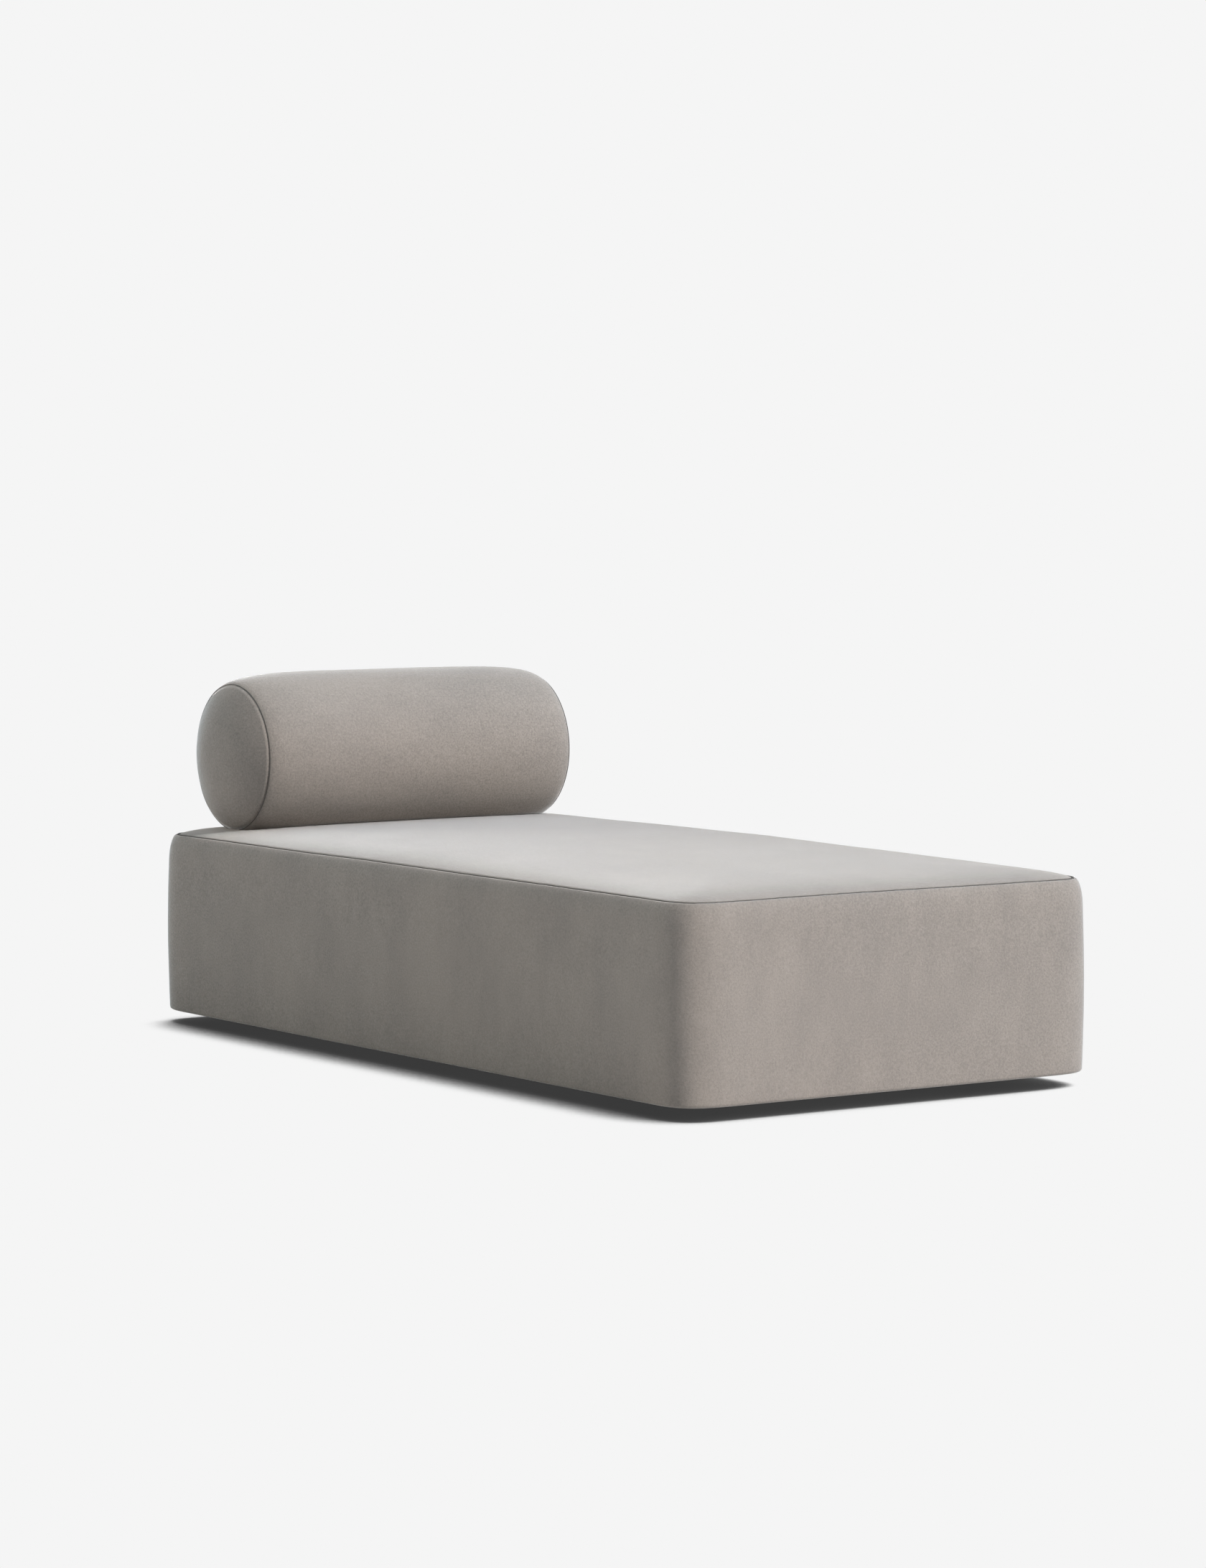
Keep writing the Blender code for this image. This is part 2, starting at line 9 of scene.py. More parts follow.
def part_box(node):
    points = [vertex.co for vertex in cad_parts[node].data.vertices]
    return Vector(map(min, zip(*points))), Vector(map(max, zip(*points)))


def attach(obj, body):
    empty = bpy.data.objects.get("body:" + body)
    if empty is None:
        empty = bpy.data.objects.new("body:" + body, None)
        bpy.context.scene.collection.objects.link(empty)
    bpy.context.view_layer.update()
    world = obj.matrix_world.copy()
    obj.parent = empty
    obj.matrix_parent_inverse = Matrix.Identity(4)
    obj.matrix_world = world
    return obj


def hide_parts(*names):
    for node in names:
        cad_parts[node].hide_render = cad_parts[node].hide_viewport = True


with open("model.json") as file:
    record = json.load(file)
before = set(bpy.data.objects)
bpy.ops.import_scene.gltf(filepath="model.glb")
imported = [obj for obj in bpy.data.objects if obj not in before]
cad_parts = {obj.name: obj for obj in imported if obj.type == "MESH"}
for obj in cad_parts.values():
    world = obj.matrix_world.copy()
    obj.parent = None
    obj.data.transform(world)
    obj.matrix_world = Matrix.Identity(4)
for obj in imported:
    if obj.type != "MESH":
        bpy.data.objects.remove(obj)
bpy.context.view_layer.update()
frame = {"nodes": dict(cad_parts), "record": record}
NODES = frame["nodes"]

# ---------------------------------------------------------------- sizes, from the CAD's own boxes

BAND_LOW, BAND_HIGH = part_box("side_cover_band")
TUBE_LOW, TUBE_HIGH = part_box("bolster_cover_tube")
HALF_X, HALF_Y = BAND_HIGH[0], BAND_HIGH[1]
HEM_Z, SEAM_Z = BAND_LOW[2], BAND_HIGH[2]

# The block's rounded corners, seen from above: how far along each side they start, and how
# strongly the curve is pulled into the corner. Further in, a small corner stays.
CORNER = 0.115
CORNER_PULL = 0.79
INNER_CORNER = 0.020

# The side's section, from the hem under the frame to the seam on top.
HEM_INSETS = (0.043, 0.028)
BOTTOM_ROUND = 0.007
BULGE = 0.003
SHOULDER_DROP = 0.060
SHOULDER_SWEEP = math.radians(84)
SEAM_INSET = 0.020

# The top's section: a quick rise beside the seam, and then a dome.
EDGE_RISE = 0.0187
EDGE_REACH = 0.054
DOME_RISE = 0.0184

CLOTH = 0.0012
THREAD_R = 0.0012
THREAD_LIFT = 0.0003
GATHER = 0.00045
GATHER_REACH = 0.010
BOLSTER_THREAD_R = 0.0009

# The bolster: straight in its middle, then drawn in to the seam at each end.
BOLSTER_R = 0.180
BOLSTER_STRAIGHT = 0.159
BOLSTER_DRAWN_IN = 0.015
BOLSTER_SEAM_Y = 0.384
BOLSTER_SEAM_R = 0.1577
BOLSTER_SEAM_GAP = 0.0003
BOLSTER_DOME = 0.043
BOLSTER_X = (TUBE_LOW[0] + TUBE_HIGH[0]) / 2
BOLSTER_Y = (TUBE_LOW[1] + TUBE_HIGH[1]) / 2
BOLSTER_Z = TUBE_HIGH[2] - BOLSTER_R
REST = 0.0004
SETTLE = 0.007

ZIP_LOW, ZIP_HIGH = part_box("zip_chain")
ZIP_CENTRE = Vector([(a + b) / 2 for a, b in zip(ZIP_LOW, ZIP_HIGH)])
ZIP_HALF = (ZIP_HIGH[1] - ZIP_LOW[1]) / 2
ZIP_ANGLE = math.atan2(ZIP_CENTRE.z - BOLSTER_Z, ZIP_CENTRE.x - BOLSTER_X)
ZIP_OUT = math.hypot(ZIP_CENTRE.z - BOLSTER_Z, ZIP_CENTRE.x - BOLSTER_X)

# ---------------------------------------------------------------- small helpers


def smooth(low, high, value):
    """0 at low and 1 at high, with a soft start and end."""
    share = min(max((value - low) / (high - low), 0.0), 1.0)
    return share * share * (3 - 2 * share)


def add_mesh(name, bm, material, smooth_angle=None):
    """An object from the mesh. Edges sharper than smooth_angle, in degrees, stay sharp."""
    bmesh.ops.recalc_face_normals(bm, faces=bm.faces)
    mesh = bpy.data.meshes.new(name)
    bm.to_mesh(mesh)
    bm.free()
    mesh.shade_smooth()
    if smooth_angle:
        mesh.set_sharp_from_angle(angle=math.radians(smooth_angle))
    obj = bpy.data.objects.new(name, mesh)
    bpy.context.scene.collection.objects.link(obj)
    mesh.materials.append(material)
    return obj


def thicken(obj):
    """Give a surface the cloth's thickness, inwards."""
    solid = obj.modifiers.new("cloth", "SOLIDIFY")
    solid.thickness = CLOTH
    solid.offset = -1
    return obj


def join_rings(bm, rings):
    """Quads between closed rings of points."""
    rows = [[bm.verts.new(point) for point in ring] for ring in rings]
    for lower, upper in zip(rows, rows[1:]):
        for i in range(len(lower)):
            j = (i + 1) % len(lower)
            bm.faces.new((lower[i], lower[j], upper[j], upper[i]))
    return rows


# ---------------------------------------------------------------- node materials


class Nodes:
    """A material and short ways to add nodes to it."""

    def __init__(self, name, colour, roughness, metallic=0.0):
        self.material = bpy.data.materials.new(name)
        self.material.use_nodes = True
        self.tree = self.material.node_tree
        self.shader = self.tree.nodes["Principled BSDF"]
        self.shader.inputs["Base Color"].default_value = (*colour, 1)
        self.shader.inputs["Roughness"].default_value = roughness
        self.shader.inputs["Metallic"].default_value = metallic
        self.place = self.add("ShaderNodeTexCoord").outputs["Object"]
        self.bumped = None

    def add(self, kind, **inputs):
        node = self.tree.nodes.new(kind)
        for key, value in inputs.items():
            node.inputs[key.replace("_", " ")].default_value = value
        return node

    def link(self, output, target):
        self.tree.links.new(output, target)

    def noise(self, scale, detail=2.0, stretch=(1, 1, 1), roughness=0.5):
        """A noise pattern, drawn out along an axis where its stretch is below 1."""
        mapping = self.add("ShaderNodeMapping", Scale=stretch)
        self.link(self.place, mapping.inputs["Vector"])
        texture = self.add("ShaderNodeTexNoise", Scale=scale, Detail=detail, Roughness=roughness)
        self.link(mapping.outputs["Vector"], texture.inputs["Vector"])
        return texture.outputs["Fac"]

    def ramp(self, value, low, high, start=0.0, end=1.0):
        """A number scaled from start..end to low..high."""
        node = self.add("ShaderNodeMapRange")
        node.inputs["From Min"].default_value = start
        node.inputs["From Max"].default_value = end
        node.inputs["To Min"].default_value = low
        node.inputs["To Max"].default_value = high
        self.link(value, node.inputs["Value"])
        return node.outputs["Result"]

    def feed(self, value, socket):
        """Put a number, a colour or another node's output into a socket."""
        if isinstance(value, tuple):
            socket.default_value = (*value, 1)
        elif isinstance(value, (int, float)):
            socket.default_value = value
        else:
            self.link(value, socket)

    def math(self, operation, first, second):
        node = self.add("ShaderNodeMath")
        node.operation = operation
        self.feed(first, node.inputs[0])
        self.feed(second, node.inputs[1])
        return node.outputs["Value"]

    def mix(self, factor, first, second, blend="MIX"):
        """Two colours mixed, or blended another way."""
        node = self.add("ShaderNodeMix")
        node.data_type = "RGBA"
        node.blend_type = blend
        self.feed(factor, node.inputs["Factor"])
        colours = [socket for socket in node.inputs if socket.type == "RGBA"]
        self.feed(first, colours[0])
        self.feed(second, colours[1])
        return next(socket for socket in node.outputs if socket.type == "RGBA")

    def blend_two(self, first, first_share, second):
        """Two patterns added, the second with what the first one's share leaves."""
        first = self.math("MULTIPLY", first, first_share)
        return self.math("ADD", first, self.math("MULTIPLY", second, 1 - first_share))

    def colour(self, output):
        self.link(output, self.shader.inputs["Base Color"])

    def rough(self, output):
        self.link(output, self.shader.inputs["Roughness"])

    def bump(self, height, distance, strength=1.0):
        """Bumps on top of those that are already there."""
        node = self.add("ShaderNodeBump", Distance=distance, Strength=strength)
        self.link(height, node.inputs["Height"])
        if self.bumped:
            self.link(self.bumped, node.inputs["Normal"])
        self.bumped = node.outputs["Normal"]
        self.link(self.bumped, self.shader.inputs["Normal"])


def velvet(name, nap):
    """Short pile: a fine grain, and soft patches where the nap lies another way, drawn out along nap."""
    n = Nodes(name, (0.26, 0.24, 0.22), 0.95)
    n.shader.inputs["Sheen Weight"].default_value = 1.0
    n.shader.inputs["Sheen Roughness"].default_value = 0.25
    n.shader.inputs["Sheen Tint"].default_value = (1.0, 0.985, 0.97, 1)
    n.shader.inputs["Specular IOR Level"].default_value = 0.15
    grain = n.noise(620, 3.0, roughness=0.7)
    tuft = n.noise(240, 3.0, roughness=0.75)
    patch = n.noise(5.5, 3.0, nap, 0.6)
    brushed = n.noise(17, 3.0, nap, 0.65)
    wide = n.noise(1.3, 1.0)
    pile = n.ramp(n.blend_two(tuft, 0.65, grain), 0.0, 1.0, 0.34, 0.66)
    lie = n.ramp(n.blend_two(patch, 0.60, brushed), 0.0, 1.0, 0.38, 0.62)
    warmth = n.ramp(wide, 0.0, 0.4, 0.35, 0.7)
    base = n.mix(pile, (0.182, 0.167, 0.152), (0.313, 0.286, 0.259))
    warmed = n.mix(warmth, base, (0.262, 0.232, 0.207))
    shade = n.mix(lie, (0.93, 0.93, 0.935), (1.065, 1.06, 1.055))
    n.colour(n.mix(1.0, warmed, shade, "MULTIPLY"))
    n.rough(n.ramp(patch, 0.88, 1.0, 0.3, 0.7))
    n.bump(tuft, 0.0009, 0.65)
    n.bump(grain, 0.0004, 0.7)
    return n.material


def timber():
    """Pale softwood with broad bands and fine streaks along its length."""
    n = Nodes("timber_grain", (0.70, 0.53, 0.33), 0.6)
    bands = n.noise(26, 4.0, (0.12, 1, 1), 0.6)
    streaks = n.noise(420, 2.0, (0.05, 1, 1))
    tone = n.ramp(n.blend_two(bands, 0.7, streaks), 0, 1, 0.35, 0.65)
    n.colour(n.mix(tone, (0.52, 0.35, 0.18), (0.76, 0.59, 0.38)))
    n.rough(n.ramp(streaks, 0.5, 0.75, 0.3, 0.7))
    n.bump(streaks, 0.0003, 0.6)
    return n.material


def foam(name, dark, light):
    """Fine open cells."""
    n = Nodes(name, light, 0.95)
    cells = n.noise(900, 1.0)
    n.colour(n.mix(n.ramp(cells, 0, 1, 0.3, 0.7), dark, light))
    n.rough(n.ramp(cells, 0.85, 1.0, 0.3, 0.7))
    n.bump(cells, 0.0006)
    return n.material


def fibre(name, dark, light, scale=260, stretch=(1, 0.25, 1), depth=0.0008):
    """Loose or pressed fibres: wadding, felt and non-woven cloth."""
    n = Nodes(name, light, 0.95)
    strands = n.noise(scale, 4.0, stretch, 0.7)
    n.colour(n.mix(n.ramp(strands, 0, 1, 0.3, 0.7), dark, light))
    n.rough(n.ramp(strands, 0.85, 1.0, 0.3, 0.7))
    n.bump(strands, depth)
    return n.material


def metal(name, colour, roughness):
    """Plated metal with a fine brushing."""
    n = Nodes(name, colour, roughness, 1.0)
    brushing = n.noise(1500, 2.0, (1, 0.1, 1))
    n.colour(n.mix(brushing, tuple(0.85 * c for c in colour), colour))
    n.rough(n.ramp(brushing, 0.8 * roughness, 1.3 * roughness))
    n.bump(brushing, 0.00005)
    return n.material


def plastic():
    """Black moulded plastic with a fine texture, for the feet."""
    n = Nodes("foot_texture", (0.02, 0.02, 0.02), 0.45)
    spark = n.noise(1100, 1.0)
    n.colour(n.mix(spark, (0.014, 0.014, 0.014), (0.028, 0.028, 0.028)))
    n.rough(n.ramp(spark, 0.35, 0.6))
    n.bump(spark, 0.00015)
    return n.material


def weave(name, dark, light, pitch=0.0011):
    """A fine plain weave, from two crossed waves."""
    n = Nodes(name, light, 0.9)
    waves = []
    for axis in ("X", "Y"):
        wave = n.add("ShaderNodeTexWave", Scale=math.pi / (10 * pitch))
        wave.bands_direction = axis
        n.link(n.place, wave.inputs["Vector"])
        waves.append(wave.outputs["Fac"])
    cloth = n.math("MULTIPLY", *waves)
    n.colour(n.mix(cloth, dark, light))
    n.rough(n.ramp(cloth, 0.8, 1.0))
    n.bump(cloth, 0.0003)
    return n.material


VELVET_SIDE = velvet("velvet_sides", (1, 1, 0.55))
VELVET_TOP = velvet("velvet_top", (0.35, 1, 1))
VELVET_TUBE = velvet("velvet_bolster", (1, 0.5, 1))
VELVET_END = velvet("velvet_bolster_ends", (1, 1, 1))
# The seam thread is real sewing, but its dark colour is painted shade standing in for the shadow in the
# seam's groove.
THREAD_AND_SEAM_SHADE_LOOK = fibre("seam_thread_painted_shade", (0.060, 0.055, 0.050), (0.105, 0.097, 0.088), 900)

finishes = {
    "timber": timber(),
    "firm_foam": foam("firm_foam_cells", (0.40, 0.47, 0.55), (0.55, 0.62, 0.70)),
    "soft_foam": foam("soft_foam_cells", (0.78, 0.73, 0.56), (0.90, 0.86, 0.70)),
    "wadding": fibre("wadding_fibre", (0.72, 0.72, 0.70), (0.92, 0.92, 0.90)),
    "zinc_steel": metal("zinc_finish", (0.66, 0.66, 0.64), 0.32),
    "zip_metal": metal("nickel_finish", (0.56, 0.54, 0.51), 0.28),
    "foot_plastic": plastic(),
    "glide_felt": fibre("glide_fibre", (0.05, 0.05, 0.05), (0.12, 0.12, 0.12), 700),
    "dust_cloth": fibre(
        "dust_cloth_fibre", (0.018, 0.018, 0.018), (0.05, 0.05, 0.05), 380, (1, 1, 1), 0.0003
    ),
    "zip_tape": weave("zip_tape_weave", (0.16, 0.15, 0.13), (0.30, 0.28, 0.25)),
    "velvet": VELVET_SIDE,
}
for part in frame["record"]["subparts"]:
    obj = NODES[part["node"]]
    obj.data.materials.clear()
    obj.data.materials.append(finishes[part["material_slot"]])

# ---------------------------------------------------------------- the block's velvet

CORNER_STEPS, LONG_STEPS, SHORT_STEPS = 12, 190, 92
BOTTOM_STEPS, SIDE_STEPS, SHOULDER_STEPS = 7, 16, 15


def corner_curve(size):
    """A quarter turn from (size, 0) to (0, size), tightest in its middle.

    It is measured from where the two sides would meet in a sharp corner.
    """
    near = size * (1 - CORNER_PULL)
    curve = []
    for step in range(CORNER_STEPS):
        t = step / CORNER_STEPS
        a, b, c, d = (1 - t) ** 3, 3 * t * (1 - t) ** 2, 3 * t * t * (1 - t), t**3
        curve.append((a * size + b * near, c * near + d * size))
    return curve


def outline(inset, height):
    """The block's rounded rectangle at an inset, with the same count of points at every inset.

    The corners get tighter inwards, down to a small one that stays.
    """
    size = math.hypot(max(CORNER - inset, 0.0), INNER_CORNER * smooth(0.03, 0.09, inset))
    far_x, far_y = HALF_X - inset, HALF_Y - inset
    straight_x, straight_y = far_x - size, far_y - size
    curve = corner_curve(size)
    points = []
    for sign in (1, -1):
        for step in range(LONG_STEPS):
            points.append((sign * straight_x * (1 - 2 * step / LONG_STEPS), sign * far_y))
        points += [(-sign * (far_x - a), sign * (far_y - b)) for a, b in curve]
        for step in range(SHORT_STEPS):
            points.append((-sign * far_x, sign * straight_y * (1 - 2 * step / SHORT_STEPS)))
        points += [(-sign * (far_x - b), -sign * (far_y - a)) for a, b in curve]
    return [Vector((x, y, height)) for x, y in points]


def top_height(inset, x, y):
    """Height of the top: it rises quickly in from the seam, and is gently domed from side to side."""
    edge = EDGE_RISE * (1 - math.exp(-(inset - SEAM_INSET) / EDGE_REACH))
    along = min(abs(x) / (HALF_X - SEAM_INSET), 1.0)
    across = min(abs(y) / (HALF_Y - SEAM_INSET), 1.0)
    return SEAM_Z + edge + DOME_RISE * (1 - along**1.56) * (1 - across**3)


def top_at(x, y):
    """Height of the top over a point."""
    return top_height(max(min(HALF_X - abs(x), HALF_Y - abs(y)), SEAM_INSET), x, y)


# How the cloth's edge rolls down into the seam: (away from the seam, below it).
SIDE_ROLL = ((0.0021, 0.0001), (0.0016, 0.0005), (0.0013, 0.0013), (0.0012, 0.0026), (0.0011, 0.0060))
TOP_ROLL = ((0.0010, 0.0060), (0.0014, 0.0030), (0.0020, 0.0014), (0.0028, 0.0003), (0.0040, -0.0007))
SIDE_ROLL_START = 0.0028
TOP_ROLL_END = 0.0052
MIDDLE_STRIP = 0.04


def side_points():
    """(inset, height) from the hem under the frame to the tuck inside the seam."""
    points = [(inset, HEM_Z) for inset in HEM_INSETS]
    for step in range(BOTTOM_STEPS):
        angle = math.radians(90) * step / BOTTOM_STEPS
        inset = BULGE + BOTTOM_ROUND * (1 - math.sin(angle))
        points.append((inset, HEM_Z + BOTTOM_ROUND * (1 - math.cos(angle))))
    low, high = HEM_Z + BOTTOM_ROUND, SEAM_Z - SHOULDER_DROP
    for step in range(SIDE_STEPS + 1):
        share = step / SIDE_STEPS
        points.append((BULGE * (2 * share - 1) ** 2, low + (high - low) * share))
    for step in range(1, SHOULDER_STEPS):
        angle = SHOULDER_SWEEP * step / SHOULDER_STEPS
        across = (1 - math.cos(angle)) / (1 - math.cos(SHOULDER_SWEEP))
        up = math.sin(angle) / math.sin(SHOULDER_SWEEP)
        inset = BULGE + (SEAM_INSET - SIDE_ROLL_START - BULGE) * across
        points.append((inset, high + SHOULDER_DROP * up))
    return points + [(SEAM_INSET - x, SEAM_Z - z) for x, z in SIDE_ROLL]


def top_points():
    """(inset, height) from the tuck inside the seam towards the middle.

    Past the tuck the height is None, because it is the top's own at each point.
    """
    points = [(SEAM_INSET + x, SEAM_Z - z) for x, z in TOP_ROLL]
    inset, step = SEAM_INSET + TOP_ROLL_END, 0.002
    while inset < HALF_Y - MIDDLE_STRIP:
        points.append((inset, None))
        inset += step
        step = min(step * 1.22, 0.024)
    return points


def soften(point):
    """How far hand-laid padding strays from its drawn shape, the same for all the block's pieces.

    noise_vector starts from another place each time Blender starts, so this differs from run to run.
    """
    away = noise.noise_vector(point * 3.1) * 0.0011 + noise.noise_vector(point * 9.0) * 0.0004
    return away * smooth(HEM_Z + 0.010, HEM_Z + 0.09, point.z)


def pucker(point, strength):
    """Small gathers that the seam draws in the cloth beside it."""
    flat = Vector((point.x, point.y, 0))
    wave = noise.noise(flat * 62) + 0.6 * noise.noise(flat * 140)
    return Vector((0, 0, GATHER * strength * wave))


def seam_nearness(inset, height):
    """1 at the seam, fading away from it."""
    below = 0.0 if height is None else (height - SEAM_Z) * 0.7
    return math.exp(-math.hypot(inset - SEAM_INSET, below) / GATHER_REACH)


def ring_at(inset, height):
    """The outline at an inset, at a height or, without one, on the top."""
    ring = outline(inset, height or 0.0)
    if height is None:
        for point in ring:
            point.z = top_height(inset, point.x, point.y)
    return ring


def block_piece(name, profile, material, close_middle=False):
    """One cloth of the block, from its section. The top also closes over its middle."""
    rings = []
    for inset, height in profile:
        near = seam_nearness(inset, height)
        rings.append([p + soften(p) + pucker(p, near) for p in ring_at(inset, height)])
    bm = bmesh.new()
    rows = join_rings(bm, rings)
    if close_middle:
        # A strip of faces between the two long sides, and one face at each end of it.
        last = rows[-1]
        front = LONG_STEPS + 2 * CORNER_STEPS + SHORT_STEPS
        opposite = [front + LONG_STEPS - i for i in range(LONG_STEPS + 1)]
        for i in range(LONG_STEPS):
            bm.faces.new((last[i], last[i + 1], last[opposite[i + 1]], last[opposite[i]]))
        bm.faces.new(last[LONG_STEPS : front + 1])
        bm.faces.new(last[front + LONG_STEPS :] + [last[0]])
    obj = thicken(add_mesh(name, bm, material))
    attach(obj, "base")
    return obj


block_sides = block_piece("block_sides", side_points(), VELVET_SIDE)
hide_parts("side_cover_band", "side_foam")
block_top = block_piece("block_top", top_points(), VELVET_TOP, close_middle=True)
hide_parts("top_cover_panel", "wadding_wrap", "top_foam")


def seam_thread_and_shade(name, ring, axis, radius, body):
    """The line of sewing in a seam, darkened as the painted shade of the seam's groove: a closed tube
    along a ring of points round the axis.
    """
    bm = bmesh.new()
    count = len(ring)
    turns = [math.tau * k / 8 for k in range(8)]
    rows = []
    for i, point in enumerate(ring):
        along = (ring[(i + 1) % count] - ring[i - 1]).normalized()
        side = along.cross(axis).normalized() * radius
        lift = side.cross(along)
        rows.append([bm.verts.new(point + side * math.cos(t) + lift * math.sin(t)) for t in turns])
    for i in range(count):
        near, far = rows[i], rows[(i + 1) % count]
        for k in range(8):
            bm.faces.new((near[k], near[(k + 1) % 8], far[(k + 1) % 8], far[k]))
    obj = add_mesh(name, bm, THREAD_AND_SEAM_SHADE_LOOK)
    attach(obj, body)
    return obj


# A dark thread round the block's top seam, painted shade for the seam's groove.
seam_ring = [p + soften(p) + pucker(p, 1.0) for p in outline(SEAM_INSET, SEAM_Z + THREAD_LIFT)]
seam_thread_and_shade("block_seam_thread_and_shade", seam_ring, Vector((0, 0, 1)), THREAD_R, "base")

# ---------------------------------------------------------------- the bolster's velvet

# Distances from the zip's middle line. A section has extra points at FOLD_PLACES. The velvet lies
# under the tape out to TAPE_EDGE, and its lip is full from LIP_TOP to LIP_FULL and gone at LIP_END.
FOLD_PLACES = (0.0180, 0.0140, 0.0115, 0.0095, 0.0082, 0.0072, 0.0064, 0.003)
FOLD_END = 0.019
TAPE_EDGE, FOLD_TOP, LIP_TOP, LIP_FULL, LIP_END = 0.0064, 0.0086, 0.0088, 0.0100, 0.018
LIP_RISE = 0.0009
UNDER_TAPE = 0.0026


def tube_radius(y):
    """The bolster's radius at a distance from its middle."""
    share = (abs(y) - BOLSTER_STRAIGHT) / (BOLSTER_SEAM_Y - BOLSTER_STRAIGHT)
    share = min(max(share, 0.0), 1.0)
    last_fall = BOLSTER_R - BOLSTER_SEAM_R - BOLSTER_DRAWN_IN
    return BOLSTER_R - BOLSTER_DRAWN_IN * share**3.2 - last_fall * share**16


def bolster_angles():
    """Angles round a section, with extra ones at the zip's folds."""
    angles = [math.tau * i / 144 for i in range(144)]
    places = sorted(side * place for side in (-1, 1) for place in FOLD_PLACES)
    folds = [ZIP_ANGLE % math.tau + place / BOLSTER_R for place in places]
    close = min(b - a for a, b in zip(folds, folds[1:])) / 2
    kept = [a for a in angles if all(abs(a - fold) > close for fold in folds)]
    return sorted(kept + folds)


ANGLES = bolster_angles()
COARSE_STEP, FINE_STEP = 0.012, 0.004
END_STEPS = 40


def zip_fold(angle, y, radius):
    """The velvet's radius beside the zip: under the tape, and folded back in a lip on each side."""
    turn = (angle - ZIP_ANGLE + math.pi) % math.tau - math.pi
    aside = abs(turn) * BOLSTER_R
    length = smooth(ZIP_HALF + 0.004, ZIP_HALF + 0.001, abs(y))
    if aside > FOLD_END or length == 0:
        return radius
    bed = (ZIP_OUT - UNDER_TAPE) / math.cos(turn)
    swell = smooth(LIP_END, LIP_FULL, aside) * smooth(TAPE_EDGE, LIP_TOP, aside)
    lip = radius + LIP_RISE * swell
    folded = bed + (lip - bed) * smooth(TAPE_EDGE, FOLD_TOP, aside)
    return radius + (folded - radius) * length


def bolster_soften(point):
    """How far the bolster's stuffing strays from a true round. This differs from run to run too."""
    return noise.noise_vector(point * 5.0 + Vector((7, 3, 1))) * 0.0012


def bolster_ring(y, radius, depth=0.0, folds=True):
    """One section of the bolster, at a distance from its middle and a depth inside its velvet."""
    ring = []
    for angle in ANGLES:
        r = (zip_fold(angle, y, radius) if folds else radius) - depth
        x, z = BOLSTER_X + r * math.cos(angle), BOLSTER_Z + r * math.sin(angle)
        point = Vector((x, BOLSTER_Y + y, z))
        # The velvet lies still beside the zip.
        calm = smooth(0.018, 0.05, math.hypot(x - ZIP_CENTRE.x, z - ZIP_CENTRE.z))
        point += bolster_soften(point) * calm
        # The underside settles on the top as drawn, and turns up from it in a soft curve.
        bed = top_at(point.x, point.y) + REST + depth
        gap = point.z - bed
        turned = (gap + math.sqrt(gap * gap + SETTLE * SETTLE)) / 2
        point.z = max(bed + turned - SETTLE / 2 * math.exp(-abs(gap) / SETTLE), bed)
        ring.append(point)
    return ring


def bolster_piece(name, rings, material, pole=False):
    """One cloth of the bolster. An end also closes at its pole."""
    bm = bmesh.new()
    rows = join_rings(bm, rings)
    if pole:
        bm.faces.new(rows[-1])
    obj = thicken(add_mesh(name, bm, material))
    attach(obj, "bolster")
    return obj


def tube_rings():
    """Sections from one end seam to the other, closer together past the zip."""
    rings = []
    y = 0.0
    while y < BOLSTER_SEAM_Y - 0.003:
        rings.append((y, tube_radius(y)))
        y += COARSE_STEP if y < ZIP_HALF - COARSE_STEP else FINE_STEP
    edge = BOLSTER_SEAM_Y - BOLSTER_SEAM_GAP
    rings += [(edge - 0.0012, BOLSTER_SEAM_R + 0.0002), (edge - 0.0002, BOLSTER_SEAM_R - 0.0007)]
    rings += [(edge, BOLSTER_SEAM_R - 0.0020), (edge, BOLSTER_SEAM_R - 0.0050)]
    whole = [(-y, r) for y, r in reversed(rings)] + rings[1:]
    return [bolster_ring(y, r) for y, r in whole]


def end_rings(sign):
    """Sections of a domed end, from its seam to its pole."""
    edge = BOLSTER_SEAM_Y + BOLSTER_SEAM_GAP
    rings = [(edge, BOLSTER_SEAM_R - 0.0050), (edge, BOLSTER_SEAM_R - 0.0020)]
    rings.append((edge + 0.0003, BOLSTER_SEAM_R - 0.0009))
    for step in range(1, END_STEPS):
        r = BOLSTER_SEAM_R * (1 - (step / END_STEPS) ** 0.8) - 0.0010
        if r < 0.004:
            break
        rings.append((edge + BOLSTER_DOME * (1 - (r / BOLSTER_SEAM_R) ** 2.4), r))
    return [bolster_ring(sign * y, r, folds=False) for y, r in rings]


tube = bolster_piece("bolster_tube", tube_rings(), VELVET_TUBE)
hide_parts("bolster_cover_tube", "bolster_wadding", "bolster_core")
for side, sign in (("front", -1), ("back", 1)):
    end = bolster_piece(f"bolster_end_{side}_velvet", end_rings(sign), VELVET_END, pole=True)
    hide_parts(f"bolster_end_{side}")
    # The thread's depth is more than its radius, so it lies above the top as drawn. Its dark colour is
    # painted shade for the end seam's groove.
    stitches = bolster_ring(sign * BOLSTER_SEAM_Y, BOLSTER_SEAM_R + 0.0006, 0.0012, folds=False)
    seam_thread_and_shade(f"bolster_seam_thread_and_shade_{side}", stitches, Vector((0, 1, 0)), BOLSTER_THREAD_R, "bolster")

# ---------------------------------------------------------------- the zip's teeth

TOOTH_PITCH = 0.0022
TOOTH_HALF = (0.0014, 0.00085, 0.00055)
TOOTH_ASIDE = 0.00045
CORD_ASIDE, CORD_SUNK = 0.0019, 0.00035
ZIP_END = 0.002


